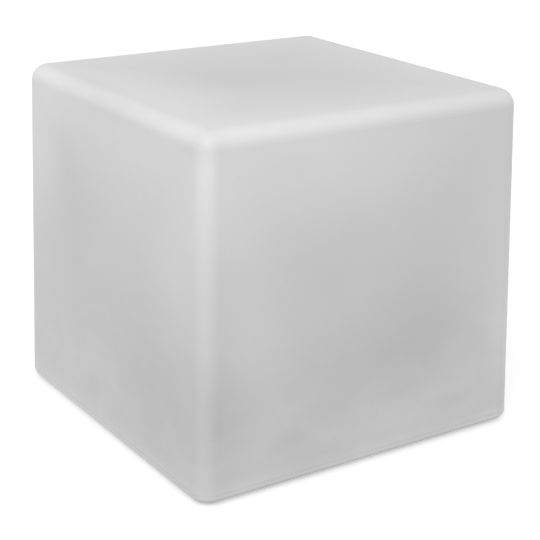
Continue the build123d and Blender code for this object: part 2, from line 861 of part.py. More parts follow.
def make_battery_cradle():
    floor_top_z = cradle_low_z + cradle_floor
    cradle = block(cradle_length, cradle_width, cradle_low_z, floor_top_z)
    for x, y in cradle_post_places():
        cradle += rounded_block(cradle_ear_length + cradle_wall, cradle_ear_width, cradle_wall,
                                cradle_low_z, floor_top_z, x, y)
    for side in (-1, 1):
        y = side * (cradle_width - cradle_wall) / 2
        cradle += block(cradle_length, cradle_wall, floor_top_z, floor_top_z + cradle_wall_height, 0.0, y)
        x = side * (cradle_length - cradle_wall) / 2
        cradle += block(cradle_wall, cradle_width, floor_top_z, floor_top_z + cradle_end_height, x, 0.0)
    for x, y in cradle_post_places():
        cradle -= disc(board_screw_radius + screw_hole_gap, cradle_low_z, floor_top_z, x, y)
    return cradle


def make_cradle_screws():
    screws = []
    for x, y in cradle_post_places():
        screws.append(screw(x, y, cradle_low_z + cradle_floor, board_screw_length, board_screw_radius,
                            board_head_radius, board_head_height, False))
    return group(screws)


# ---- LED deck ----
def deck_plate(radius, low, high):
    plate = disc(radius, low, high)
    for x, y in pillar_places():
        plate -= disc(dome_screw_radius + screw_hole_gap, low, high, x, y)
    return plate - disc(lead_hole_radius, low, high, 0.0, lead_hole_offset)


def make_heat_spreader():
    return deck_plate(spreader_radius, spreader_low_z, spreader_top_z)


def make_heat_pad():
    pad = deck_plate(heat_pad_radius, spreader_top_z, heat_pad_top_z)
    lip = lead_hole_radius + grommet_lip + hole_spare
    return pad - disc(lip, spreader_top_z, heat_pad_top_z, 0.0, lead_hole_offset)


def make_led_board():
    board = deck_plate(led_board_radius, heat_pad_top_z, led_board_top_z)
    lip = lead_hole_radius + grommet_lip + hole_spare
    return board - disc(lip, heat_pad_top_z, led_board_top_z, 0.0, lead_hole_offset)


def led_places():
    inner = around(inner_led_count, inner_led_circle, start=180.0 / inner_led_count)
    outer = around(outer_led_count, outer_led_circle, start=180.0 / outer_led_count)
    return inner + outer


def make_led_chips():
    chips = []
    for x, y in led_places():
        angle = degrees(atan2(y, x))
        spot = Pos(x, y, 0) * Rot(0, 0, angle)
        chip = block(led_width, led_width, led_board_top_z, led_board_top_z + led_height)
        chip -= disc(led_lens_radius, led_board_top_z + led_height - led_lens_height,
                     led_board_top_z + led_height)
        chips.append(spot * chip)
    return group(chips)


def make_deck_screws():
    screws = []
    for x, y in pillar_places():
        screws.append(screw(x, y, led_board_top_z, deck_screw_length, dome_screw_radius,
                            dome_head_radius, dome_head_height, False))
    return group(screws)


def make_lead_grommet():
    body = tube(lead_hole_radius - screw_gap, lead_hole_radius - grommet_wall, spreader_low_z,
                spreader_top_z, 0.0, lead_hole_offset)
    lip_radius = lead_hole_radius + grommet_lip
    for low in (spreader_low_z - grommet_lip, spreader_top_z):
        body += tube(lip_radius, lead_hole_radius - grommet_wall, low, low + grommet_lip,
                     0.0, lead_hole_offset)
    return body


def make_infrared_receiver():
    top_z = led_board_top_z + infrared_height
    body = block(infrared_length, infrared_depth, led_board_top_z, top_z)
    return body + Pos(0, 0, top_z) * (Sphere(infrared_eye_radius) - block(
        infrared_length, infrared_length, -infrared_eye_radius, 0.0))


# ---- clear dome, its seal, ring and screws ----
def dome_holes(low, high):
    holes = []
    for x, y in dome_screw_places():
        holes.append(disc(dome_screw_radius + screw_hole_gap, low, high, x, y))
    return group(holes)


def make_dome_seal():
    seal = tube(dome_edge, deck_inner_radius, spreader_top_z, dome_flange_low_z)
    return seal - dome_holes(spreader_top_z, dome_flange_low_z)


def make_diffuser_dome():
    centre_z = dome_flange_top_z + dome_height - dome_outer_sphere
    reach = dome_outer_sphere + dome_height
    above = disc(reach, dome_flange_low_z, dome_flange_low_z + 2 * reach)
    outside = Pos(0, 0, centre_z) * Sphere(dome_outer_sphere) & above
    flange = disc(dome_edge, dome_flange_low_z, dome_flange_top_z)
    rim_cut = outside & disc(dome_radius, dome_flange_low_z, dome_flange_low_z + 2 * reach)
    body = rim_cut + flange
    body -= Pos(0, 0, centre_z) * Sphere(dome_outer_sphere - dome_wall)
    body -= disc(deck_inner_radius, spreader_top_z, dome_flange_top_z)
    return body - dome_holes(dome_flange_low_z, dome_flange_top_z)


def make_dome_ring():
    ring = tube(dome_edge, dome_radius + dome_ring_gap, dome_flange_top_z, dome_ring_top_z)
    ring = fillet(ring.edges().group_by(Axis.Z)[-1], dome_edge_radius)
    return ring - dome_holes(dome_flange_top_z, dome_ring_top_z)


def make_dome_screws():
    screws = []
    for x, y in dome_screw_places():
        screws.append(screw(x, y, dome_ring_top_z, dome_screw_length, dome_screw_radius,
                            dome_head_radius, dome_head_height, False))
    return group(screws)


# ---- leads ----
header_top_z = board_top_z + header_height
lead_plug_top_z = header_top_z + plug_body_height


def make_board_headers():
    lead = block(header_width, header_depth, board_top_z, header_top_z, 0.0, lead_header_y)
    battery = block(header_width, header_depth, board_top_z, header_top_z,
                    battery_header_x, battery_header_y)
    return group([lead, battery])


def make_led_lead_plug():
    return block(header_width, header_depth, header_top_z, lead_plug_top_z, 0.0, lead_header_y)


def make_battery_plug():
    return block(header_width, header_depth, header_top_z, lead_plug_top_z,
                 battery_header_x, battery_header_y)


def make_led_connector():
    y = lead_hole_offset - led_wire_run - header_depth / 2
    height = led_wire_height + wire_diameter
    return block(header_width, header_depth, led_board_top_z, led_board_top_z + height, 0.0, y)


def make_led_lead():
    wires = []
    run_z = led_board_top_z + led_wire_height
    step_low_z = lead_plug_top_z + wire_bend_radius
    step_high_z = spreader_low_z - wire_bend_radius
    for index in range(led_wire_count):
        x = (index - (led_wire_count - 1) / 2) * led_wire_pitch
        points = [
            (x, lead_header_y, lead_plug_top_z),
            (x, lead_header_y, step_low_z),
            (x, lead_hole_offset, step_high_z),
            (x, lead_hole_offset, run_z),
            (x, lead_hole_offset - led_wire_run, run_z),
        ]
        wires.append(wire(points, wire_bend_radius))
    return group(wires)


def battery_wire(side):
    start_x = side * (cell_length / 2 + tab_thickness)
    corner_x = side * (pillar_x - pillar_radius - battery_wire_gap)
    start_y = -cell_pitch * (cell_count - 1) / 2
    start_z = cell_axis_z + tab_solder_rise
    run_z = start_z + battery_wire_rise
    plug_x = battery_header_x + side * battery_wire_pitch / 2
    points = [
        (start_x, start_y, start_z),
        (corner_x, start_y, start_z),
        (corner_x, battery_header_y, run_z),
        (plug_x, battery_header_y, run_z),
        (plug_x, battery_header_y, lead_plug_top_z),
    ]
    return wire(points, wire_bend_radius)


nodes = {
    "cube_shell": make_cube_shell,
    "shell_inserts": make_shell_inserts,
    "rubber_feet": make_rubber_feet,
    "ring_gasket": make_ring_gasket,
    "lock_ring": make_lock_ring,
    "ring_screws": make_ring_screws,
    "module_base": make_module_base,
    "module_barrel": make_module_barrel,
    "grip_cup": make_grip_cup,
    "module_seal": make_module_seal,
    "power_button": make_power_button,
    "button_seal": make_button_seal,
    "switch_body": make_switch_body,
    "switch_plunger": make_switch_plunger,
    "charge_socket": make_charge_socket,
    "socket_pin": make_socket_pin,
    "socket_nut": make_socket_nut,
    "socket_contacts": make_socket_contacts,
    "plug_anchor": make_plug_anchor,
    "charge_plug": make_charge_plug,
    "control_board": make_control_board,
    "board_screws": make_board_screws,
    "board_chips": make_board_chips,
    "board_capacitors": make_board_capacitors,
    "board_headers": make_board_headers,
    "indicator_lens": make_indicator_lens,
    "indicator_lamp": make_indicator_lamp,
    "battery_cells": make_battery_cells,
    "cell_tabs": make_cell_tabs,
    "battery_wrap": make_battery_wrap,
    "battery_cradle": make_battery_cradle,
    "cradle_screws": make_cradle_screws,
    "battery_plug": make_battery_plug,
    "battery_lead_red": lambda: battery_wire(1),
    "battery_lead_black": lambda: battery_wire(-1),
    "heat_spreader": make_heat_spreader,
    "heat_pad": make_heat_pad,
    "led_board": make_led_board,
    "led_chips": make_led_chips,
    "deck_screws": make_deck_screws,
    "lead_grommet": make_lead_grommet,
    "infrared_receiver": make_infrared_receiver,
    "led_connector": make_led_connector,
    "led_lead_plug": make_led_lead_plug,
    "led_lead": make_led_lead,
    "dome_seal": make_dome_seal,
    "diffuser_dome": make_diffuser_dome,
    "dome_ring": make_dome_ring,
    "dome_screws": make_dome_screws,
}

os.makedirs("parts", exist_ok=True)
for name, make in nodes.items():
    export_step(make(), f"parts/{name}.step")
    print("wrote", name)
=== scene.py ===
import math

import bpy
from mathutils import Matrix, Vector


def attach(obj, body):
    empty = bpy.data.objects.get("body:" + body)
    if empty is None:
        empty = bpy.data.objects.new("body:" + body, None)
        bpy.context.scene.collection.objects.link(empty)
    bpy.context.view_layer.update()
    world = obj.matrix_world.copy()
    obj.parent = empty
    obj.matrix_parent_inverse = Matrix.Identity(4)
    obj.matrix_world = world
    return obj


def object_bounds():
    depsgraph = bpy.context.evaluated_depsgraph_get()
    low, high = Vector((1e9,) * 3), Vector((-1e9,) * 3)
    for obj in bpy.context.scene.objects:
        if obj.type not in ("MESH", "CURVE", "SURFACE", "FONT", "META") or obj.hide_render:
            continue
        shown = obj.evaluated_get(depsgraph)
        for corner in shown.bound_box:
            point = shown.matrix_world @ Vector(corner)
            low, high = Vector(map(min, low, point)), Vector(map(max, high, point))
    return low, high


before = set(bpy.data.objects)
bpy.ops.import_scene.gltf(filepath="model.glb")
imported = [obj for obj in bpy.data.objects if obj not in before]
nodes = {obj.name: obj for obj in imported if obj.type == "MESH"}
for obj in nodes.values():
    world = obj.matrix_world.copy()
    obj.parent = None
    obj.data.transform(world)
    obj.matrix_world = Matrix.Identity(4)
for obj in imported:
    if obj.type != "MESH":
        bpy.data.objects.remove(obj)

# a cordless cube light, switched off: metres, +Z up, in the frame of the solids

cadLow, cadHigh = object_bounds()
print("frame loaded:", len(nodes), "nodes")


# small helpers for shader trees

def addNode(tree, kind, inputs=None, **settings):
    node = tree.nodes.new("ShaderNode" + kind)
    for key, value in settings.items():
        setattr(node, key, value)
    for key, value in (inputs or {}).items():
        if isinstance(value, bpy.types.NodeSocket):
            tree.links.new(value, node.inputs[key])
        else:
            node.inputs[key].default_value = value
    return node


def calc(tree, operation, first, second=0.0):
    return addNode(tree, "Math", {0: first, 1: second}, operation=operation).outputs[0]


def calcAll(tree, operation, first, *others):
    for other in others:
        first = calc(tree, operation, first, other)
    return first


def added(tree, *values):
    return calcAll(tree, "ADD", *values)


def times(tree, *values):
    return calcAll(tree, "MULTIPLY", *values)


def larger(tree, *values):
    return calcAll(tree, "MAXIMUM", *values)


def remap(tree, value, low, high, toLow=0.0, toHigh=1.0):
    # a smooth step; a range in the dictionaries is low, high and, unless 0 and 1, the values there
    inputs = {"Value": value, "From Min": low, "From Max": high, "To Min": toLow, "To Max": toHigh}
    return addNode(tree, "MapRange", inputs, interpolation_type="SMOOTHSTEP").outputs["Result"]


def clouds(tree, coords, scale, detail=2.0, rough=0.5, twist=0.0, output="Fac"):
    inputs = {"Vector": coords, "Scale": scale, "Detail": detail, "Roughness": rough, "Distortion": twist}
    return addNode(tree, "TexNoise", inputs).outputs[output]


def scatteredDots(tree, coords, scale, spread, rarity, rim, **settings):
    # a dot in each cell, of which only the rarer ones stay
    inputs = {"Vector": coords, "Scale": scale, "Randomness": spread}
    cells = addNode(tree, "TexVoronoi", inputs, **settings)
    pick = addNode(tree, "SeparateColor", {"Color": cells.outputs["Color"]}).outputs[0]
    return times(tree, remap(tree, cells.outputs["Distance"], *rim), calc(tree, "GREATER_THAN", pick, rarity))


def stretched(tree, coords, scale, shift=(0.0, 0.0, 0.0)):
    inputs = {"Vector": coords, "Location": shift, "Scale": scale}
    return addNode(tree, "Mapping", inputs).outputs["Vector"]


def vectorCalc(tree, operation, first, second):
    return addNode(tree, "VectorMath", {0: first, 1: second}, operation=operation).outputs["Vector"]


def vectorLength(tree, vector):
    return addNode(tree, "VectorMath", {0: vector}, operation="LENGTH").outputs["Value"]


def grey(level):
    return (level, level, level, 1.0)


def shade(colour, factor=1.0):
    return tuple(min(1.0, part * factor) for part in colour) + (1.0,)


def tint(tree, factor, first, second):
    # the Mix node has its two colours at inputs 6 and 7, and their mix at output 2
    return addNode(tree, "Mix", {0: factor, 6: first, 7: second}, data_type="RGBA").outputs[2]


def between(tree, factor, first, second):
    # and its two plain numbers at inputs 2 and 3
    return addNode(tree, "Mix", {0: factor, 2: first, 3: second}).outputs[0]


def bump(tree, height, distance):
    inputs = {"Height": height, "Distance": distance, "Strength": 1.0}
    return addNode(tree, "Bump", inputs).outputs["Normal"]


def startMaterial(name):
    material = bpy.data.materials.new(name)
    material.use_nodes = True
    tree = material.node_tree
    shader = tree.nodes["Principled BSDF"]
    coords = addNode(tree, "TexCoord").outputs["Object"]
    return material, tree, shader, coords


def connect(tree, shader, colour, rough, normal):
    tree.links.new(colour, shader.inputs["Base Color"])
    tree.links.new(rough, shader.inputs["Roughness"])
    tree.links.new(normal, shader.inputs["Normal"])


def dressAll(looks, makeMaterial):
    for name, look in looks.items():
        material = makeMaterial(name, look)
        for node in look["nodes"]:
            mesh = nodes[node].data
            mesh.materials.clear()
            mesh.materials.append(material)


# cube shell: cloudy, satin, rotomoulded polyethylene, built up as a level of grey that also holds painted
# light and shade

shellLooks = {"cloudyPolyethylene": {
    "nodes": ("cube_shell",),
    "baseHalf": 0.215,
    "topHalf": 0.205,
    "baseZ": 0.002,
    "face": 0.616,             # level of grey in the middle of a face

    # added towards the edges of a face and on the rounding itself: partly a thicker wall there, partly a
    # painted highlight, which grows towards the top as light from above does
    "edge": (0.150, 0.0, 0.0, 0.070),
    "edgeByHeight": (0.02, 0.36, 0.30, 1.0),
    "roundingLight": (0.0195, 0.006),
    "roundingLightByHeight": (0.30, 0.385, 0.034, 0.060),

    # clouds in the plastic, and smudges that are stronger low down
    "cloud": {"scale": 4.2, "rough": 0.45, "twist": 0.3},
    "cloudRange": (0.3, 0.7, -0.012, 0.012),
    "smudge": {"scale": 17.0, "detail": 5.0, "rough": 0.62, "twist": 0.6},
    "smudgeStretch": (1.0, 1.0, 1.9),
    "smudgeRange": (0.36, 0.68, -0.012, 0.012),
    "smudgeByHeight": (0.24, 0.03, 0.18, 1.0),

    # taken away: dust specks, the line of the mould's parting, and painted shade on the bottom edge where it
    # turns down to the floor
    "specks": {"scale": 55.0, "spread": 1.0, "rarity": 0.94, "rim": (0.10, 0.04)},
    "speckShade": 0.05,
    "partingZ": 0.0135,
    "partingLine": (0.0012, 0.0003),
    "partingSide": (0.008, 0.004),
    "partingShade": 0.020,
    "underShadeByHeight": (0.0105, 0.0035),
    "underShadeSide": (0.012, 0.006),
    "underShadeLevel": 0.210,

    "scuffs": {"scale": 26.0, "detail": 5.0, "rough": 0.55},
    "scuffStretch": (1.0, 1.0, 0.35),
    "roughRange": (0.25, 0.75, 0.448, 0.478),
    "peelSize": 520.0,
    "peelDepth": 0.000012,
    "ior": 1.50,

    # painted light and shade in soft spots, partly where the wall is thinner or thicker: centre, reach,
    # change of level
    "ripple": {"scale": 9.0, "detail": 3.0},
    "rippleDepth": 0.05,
    "paintedLightPatches": {
        "front": (
            ((0.065, -0.212, 0.145), (0.135, 0.09, 0.100), -0.060),
            ((-0.060, -0.212, 0.115), (0.190, 0.09, 0.080), -0.030),
            ((-0.175, -0.212, 0.090), (0.070, 0.05, 0.090), -0.045),
            ((-0.107, -0.214, 0.047), (0.034, 0.05, 0.022), -0.040),
            ((0.120, -0.214, 0.048), (0.040, 0.05, 0.016), -0.045),
            ((0.060, -0.214, 0.044), (0.240, 0.05, 0.040), 0.034),
            ((-0.101, -0.206, 0.352), (0.044, 0.05, 0.018), -0.016),
            ((-0.050, -0.205, 0.335), (0.230, 0.045, 0.110), 0.046),
            ((0.200, -0.210, 0.130), (0.045, 0.045, 0.130), 0.040),
        ),
        "frontLeftCorner": (
            ((-0.208, -0.208, 0.135), (0.085, 0.085, 0.210), -0.070),
            ((-0.200, -0.200, 0.394), (0.045, 0.045, 0.034), -0.050),
        ),
        "left": (
            ((-0.211, -0.070, 0.150), (0.09, 0.130, 0.150), -0.038),
            ((-0.213, -0.140, 0.100), (0.05, 0.100, 0.150), -0.060),
            ((-0.214, 0.028, 0.052), (0.05, 0.034, 0.030), -0.030),
            ((-0.208, 0.060, 0.220), (0.05, 0.080, 0.130), -0.014),
            ((-0.205, 0.110, 0.370), (0.030, 0.120, 0.050), 0.030),
            ((-0.205, 0.175, 0.320), (0.045, 0.090, 0.140), 0.052),
        ),
        "top": (
            ((-0.198, -0.010, 0.400), (0.034, 0.200, 0.030), -0.060),
            ((0.000, -0.150, 0.402), (0.260, 0.080, 0.016), -0.028),
            ((-0.048, 0.000, 0.400), (0.110, 0.085, 0.09), -0.040),
            ((0.050, -0.050, 0.400), (0.150, 0.120, 0.09), -0.020),
        ),
        "right": (
            ((0.211, 0.030, 0.170), (0.09, 0.120, 0.120), -0.040),
            ((0.212, -0.110, 0.060), (0.05, 0.050, 0.040), -0.020),
        ),
        "back": (
            ((-0.020, 0.211, 0.160), (0.150, 0.09, 0.110), -0.045),
            ((0.120, 0.213, 0.055), (0.050, 0.05, 0.022), -0.020),
        ),
    },
}}


def nearnessToEdge(tree, look, place):
    # distance to the nearest upright or top edge, and to the nearest side
    x, y, z = place.outputs
    draft = (look["baseHalf"] - look["topHalf"]) / (cadHigh.z - look["baseZ"])
    half = calc(tree, "SUBTRACT", look["baseHalf"] + draft * look["baseZ"], times(tree, z, draft))
    insideX = calc(tree, "SUBTRACT", half, calc(tree, "ABSOLUTE", x))
    insideY = calc(tree, "SUBTRACT", half, calc(tree, "ABSOLUTE", y))
    insideTop = calc(tree, "SUBTRACT", cadHigh.z, z)
    toSide = calc(tree, "MINIMUM", insideX, insideY)
    farther = calc(tree, "MINIMUM", larger(tree, insideX, insideY), insideTop)
    return larger(tree, toSide, farther), toSide


def paintedLightLevel(tree, look, coords):
    # soft round spots of painted light and shade; a ripple, which swings about 0.5, makes their outlines
    # uneven
    ripple = clouds(tree, coords, **look["ripple"], output="Color")
    swing = vectorCalc(tree, "SUBTRACT", ripple, (0.5, 0.5, 0.5))
    inputs = {0: swing, "Scale": look["rippleDepth"]}
    shift = addNode(tree, "VectorMath", inputs, operation="SCALE").outputs["Vector"]
    moved = vectorCalc(tree, "ADD", coords, shift)
    level = 0.0
    for spots in look["paintedLightPatches"].values():
        for centre, reach, change in spots:
            offset = vectorCalc(tree, "SUBTRACT", moved, centre)
            far = vectorLength(tree, vectorCalc(tree, "DIVIDE", offset, reach))
            level = added(tree, level, remap(tree, far, 1.0, 0.0, 0.0, change))
    return level


def edgeLevel(tree, look, toEdge, z):
    # painted highlight along the edges and on the rounding, partly a thicker wall, brighter towards the top
    edge = times(tree, remap(tree, toEdge, *look["edge"]), remap(tree, z, *look["edgeByHeight"]))
    roundingLight = remap(tree, toEdge, *look["roundingLight"])
    return added(tree, edge, times(tree, roundingLight, remap(tree, z, *look["roundingLightByHeight"])))


def cloudLevel(tree, look, coords, z):
    cloud = remap(tree, clouds(tree, coords, **look["cloud"]), *look["cloudRange"])
    smudge = clouds(tree, stretched(tree, coords, look["smudgeStretch"]), **look["smudge"])
    smudge = remap(tree, smudge, *look["smudgeRange"])
    return added(tree, cloud, times(tree, smudge, remap(tree, z, *look["smudgeByHeight"])))


def bottomShade(tree, look, toSide, z):
    away = calc(tree, "ABSOLUTE", calc(tree, "SUBTRACT", z, look["partingZ"]))
    parting = times(tree, remap(tree, away, *look["partingLine"]),
                    remap(tree, toSide, *look["partingSide"]), look["partingShade"])
    # painted shade on the lower rounding, which faces the floor, fading out onto the underside
    underShade = times(tree, remap(tree, z, *look["underShadeByHeight"]),
                   remap(tree, toSide, *look["underShadeSide"]), look["underShadeLevel"])
    return added(tree, parting, underShade)


def shellMaterial(name, look):
    material, tree, shader, coords = startMaterial(name)
    place = addNode(tree, "SeparateXYZ", {"Vector": coords})
    z = place.outputs["Z"]
    toEdge, toSide = nearnessToEdge(tree, look, place)

    # the face's level, with painted light and shade from the spots and the edges, and clouds in the plastic
    pale = added(tree, look["face"], paintedLightLevel(tree, look, coords), edgeLevel(tree, look, toEdge, z),
                 cloudLevel(tree, look, coords, z))
    specks = times(tree, scatteredDots(tree, coords, **look["specks"]), look["speckShade"])
    level = calc(tree, "SUBTRACT", pale, added(tree, specks, bottomShade(tree, look, toSide, z)))
    colour = addNode(tree, "CombineColor", {0: level, 1: level, 2: level}).outputs[0]

    scuffs = clouds(tree, stretched(tree, coords, look["scuffStretch"]), **look["scuffs"])
    peel = bump(tree, clouds(tree, coords, look["peelSize"]), look["peelDepth"])
    connect(tree, shader, colour, remap(tree, scuffs, *look["roughRange"]), peel)
    shader.inputs["IOR"].default_value = look["ior"]
    return material


dressAll(shellLooks, shellMaterial)
print("shell dressed")


# plastics and rubbers of the fittings underneath and inside

plasticLooks = {
    "modulePlastic": {"colour": (0.56, 0.56, 0.57), "grain": 1400.0, "depth": 0.00004, "rough": 0.44,
                      "nodes": ("module_base", "module_barrel")},
    "gripPlastic": {"colour": (0.47, 0.47, 0.48), "grain": 1100.0, "depth": 0.00006, "rough": 0.5,
                    "nodes": ("grip_cup",)},
    "ringPlastic": {"colour": (0.46, 0.46, 0.47), "grain": 900.0, "depth": 0.00005, "rough": 0.5,
                    "nodes": ("lock_ring", "dome_ring")},
    "blackNylon": {"colour": (0.028, 0.028, 0.030), "grain": 1100.0, "depth": 0.00005, "rough": 0.42,
                   "nodes": ("battery_cradle", "switch_body", "switch_plunger", "board_chips",
                             "infrared_receiver")},
    "ivoryNylon": {"colour": (0.72, 0.69, 0.60), "grain": 1500.0, "depth": 0.00003, "rough": 0.36,
                   "nodes": ("board_headers", "battery_plug", "led_connector", "led_lead_plug")},
    "footRubber": {"colour": (0.095, 0.095, 0.099), "grain": 700.0, "depth": 0.00008, "rough": 0.72,
                   "nodes": ("rubber_feet",)},
    "sealSilicone": {"colour": (0.036, 0.036, 0.039), "grain": 500.0, "depth": 0.00004, "rough": 0.6,
                     "nodes": ("ring_gasket", "module_seal", "button_seal", "dome_seal")},
    "plugRubber": {"colour": (0.070, 0.070, 0.074), "grain": 800.0, "depth": 0.00006, "rough": 0.66,
                   "nodes": ("charge_plug", "plug_anchor", "lead_grommet")},
    "buttonRubber": {"colour": (0.19, 0.19, 0.20), "grain": 900.0, "depth": 0.00005, "rough": 0.58,
                     "nodes": ("power_button",)},
    "padGrey": {"colour": (0.34, 0.35, 0.37), "grain": 300.0, "depth": 0.0001, "rough": 0.8,
                "nodes": ("heat_pad",)},
    "wireRed": {"colour": (0.46, 0.022, 0.018), "grain": 600.0, "depth": 0.00003, "rough": 0.4,
                "nodes": ("battery_lead_red",)},
    "wireBlack": {"colour": (0.020, 0.020, 0.021), "grain": 600.0, "depth": 0.00003, "rough": 0.4,
                  "nodes": ("battery_lead_black",)},
    "wireWhite": {"colour": (0.68, 0.68, 0.66), "grain": 600.0, "depth": 0.00003, "rough": 0.4,
                  "nodes": ("led_lead",)},
    "cellWrap": {"colour": (0.012, 0.045, 0.18), "grain": 250.0, "depth": 0.00012, "rough": 0.3,
                 "nodes": ("battery_wrap",)},
}

plasticWear = {
    "blotch": {"scale": 45.0, "detail": 4.0, "rough": 0.55},
    "blotchRange": (0.3, 0.7),
    "blotchShades": (0.95, 1.05),
    "speckle": {"scale": 1600.0, "rough": 0.6},
    "speckleRange": (0.62, 0.8, 0.0, 0.25),
    "speckleShade": 1.35,
    "rub": {"scale": 420.0, "detail": 5.0, "rough": 0.7},
    "rubStretch": (1.0, 0.18, 1.0),
    "rubRange": (0.66, 0.8, 0.0, 0.3),
    "rubShade": 1.2,
    "roughRange": (0.3, 0.75),
    "smoother": 0.07,          # taken from a finish's own roughness, and the next one added
    "rougher": 0.1,
    "grain": {"detail": 3.0, "rough": 0.6},
}


def plasticMaterial(name, look):
    material, tree, shader, coords = startMaterial(name)
    wear = plasticWear
    deep, pale = (shade(look["colour"], factor) for factor in wear["blotchShades"])
    body = tint(tree, remap(tree, clouds(tree, coords, **wear["blotch"]), *wear["blotchRange"]), deep, pale)
    speckle = remap(tree, clouds(tree, coords, **wear["speckle"]), *wear["speckleRange"])
    body = tint(tree, speckle, body, shade(look["colour"], wear["speckleShade"]))
    rubbed = clouds(tree, stretched(tree, coords, wear["rubStretch"]), **wear["rub"])
    body = tint(tree, remap(tree, rubbed, *wear["rubRange"]), body, shade(look["colour"], wear["rubShade"]))
    smooth, dull = look["rough"] - wear["smoother"], look["rough"] + wear["rougher"]
    rough = remap(tree, rubbed, *wear["roughRange"], smooth, dull)
    grain = clouds(tree, coords, look["grain"], **wear["grain"])
    connect(tree, shader, body, rough, bump(tree, grain, look["depth"]))
    return material


dressAll(plasticLooks, plasticMaterial)
print("plastics and rubbers dressed")


metalLooks = {
    "insertBrass": {"colour": (0.70, 0.50, 0.22), "rough": 0.34, "nodes": ("shell_inserts",)},
    "contactGold": {"colour": (0.78, 0.60, 0.30), "rough": 0.26, "nodes": ("socket_pin", "socket_contacts")},
    "screwSteel": {"colour": (0.52, 0.52, 0.53), "rough": 0.3,
                   "nodes": ("ring_screws", "board_screws", "cradle_screws", "deck_screws", "dome_screws")},
    "nickelPlate": {"colour": (0.62, 0.60, 0.56), "rough": 0.24,
                    "nodes": ("charge_socket", "socket_nut", "cell_tabs")},
    "spreaderAluminium": {"colour": (0.70, 0.71, 0.72), "rough": 0.38, "nodes": ("heat_spreader",)},
    "cellSteel": {"colour": (0.50, 0.50, 0.49), "rough": 0.3, "nodes": ("battery_cells",)},
    "capacitorCan": {"colour": (0.60, 0.61, 0.63), "rough": 0.33, "nodes": ("board_capacitors",)},
}

metalWear = {
    "stain": {"scale": 130.0, "detail": 5.0, "rough": 0.6},
    "stainRange": (0.35, 0.7),
    "stainShades": (1.08, 0.8),
    "brush": {"scale": 2600.0, "detail": 3.0, "rough": 0.6},
    "brushStretch": (1.0, 0.04, 1.0),
    "brushDepth": 0.00002,
    "roughRange": (0.3, 0.7),
    "smoother": 0.06,          # as for the plastics
    "rougher": 0.12,
}


def metalMaterial(name, look):
    material, tree, shader, coords = startMaterial(name)
    wear = metalWear
    clean, stained = (shade(look["colour"], factor) for factor in wear["stainShades"])
    stain = remap(tree, clouds(tree, coords, **wear["stain"]), *wear["stainRange"])
    brushed = clouds(tree, stretched(tree, coords, wear["brushStretch"]), **wear["brush"])
    smooth, dull = look["rough"] - wear["smoother"], look["rough"] + wear["rougher"]
    rough = remap(tree, brushed, *wear["roughRange"], smooth, dull)
    connect(tree, shader, tint(tree, stain, clean, stained), rough, bump(tree, brushed, wear["brushDepth"]))
    shader.inputs["Metallic"].default_value = 1.0
    return material


dressAll(metalLooks, metalMaterial)
print("metals dressed")


# circuit boards: lacquer over copper traces, and bare solder pads

boardLooks = {
    "greenBoard": {"mask": (0.012, 0.105, 0.040), "trace": (0.034, 0.210, 0.080), "pad": (0.62, 0.60, 0.55),
                   "rings": False, "nodes": ("control_board",)},
    "whiteBoard": {"mask": (0.74, 0.74, 0.72), "trace": (0.60, 0.60, 0.58), "pad": (0.66, 0.65, 0.62),
                   "rings": True, "nodes": ("led_board",)},
}

boardWear = {
    "lacquer": {"scale": 60.0, "detail": 3.0},
    "lacquerShades": (0.93, 1.07),
    "pads": {"scale": 300.0, "spread": 0.7, "rarity": 0.8, "rim": (0.26, 0.22)},
    "gloss": {"scale": 700.0, "detail": 3.0, "rough": 0.6},
    "roughRange": (0.3, 0.7, 0.28, 0.4),
    "relief": 0.00003,
    "coat": 0.3,
}

ringTraceLook = {
    "halfPitch": 0.0055,
    "halfSector": math.pi / 12,
    "line": (0.00045, 0.0002),
    "gate": {"scale": 45.0, "detail": 1.0},
    "gateRange": (0.49, 0.51),
}


def ringTraces(tree, coords):
    # copper rings round the middle, joined here and there by spokes
    look = ringTraceLook
    place = addNode(tree, "SeparateXYZ", {"Vector": coords})
    flat = addNode(tree, "CombineXYZ", {0: place.outputs[0], 1: place.outputs[1], 2: 0.0}).outputs[0]
    radius = vectorLength(tree, flat)
    ring = remap(tree, calc(tree, "PINGPONG", radius, look["halfPitch"]), *look["line"])
    turn = calc(tree, "ARCTAN2", place.outputs[1], place.outputs[0])
    aside = times(tree, calc(tree, "PINGPONG", turn, look["halfSector"]), radius)
    gate = remap(tree, clouds(tree, coords, **look["gate"]), *look["gateRange"])
    return larger(tree, ring, times(tree, remap(tree, aside, *look["line"]), gate))


gridTraceLook = {
    "halfPitch": 0.0011,
    "line": (0.00030, 0.00018),
    "alongY": {"axis": 0, "stretch": (1.0, 0.12, 1.0), "shift": (3.0, 3.0, 0.0)},
    "alongX": {"axis": 1, "stretch": (0.12, 1.0, 1.0), "shift": (7.0, 7.0, 0.0)},
    "gate": {"scale": 190.0, "detail": 0.0},
    "gateRange": (0.55, 0.57),
}


def gridTraces(tree, coords):
    # runs along and across the board, each where its own cloud lets it
    look = gridTraceLook
    place = addNode(tree, "SeparateXYZ", {"Vector": coords})
    traces = 0.0
    for run in (look["alongY"], look["alongX"]):
        aside = calc(tree, "PINGPONG", place.outputs[run["axis"]], look["halfPitch"])
        cloud = clouds(tree, stretched(tree, coords, run["stretch"], run["shift"]), **look["gate"])
        gated = times(tree, remap(tree, aside, *look["line"]), remap(tree, cloud, *look["gateRange"]))
        traces = larger(tree, traces, gated)
    return traces


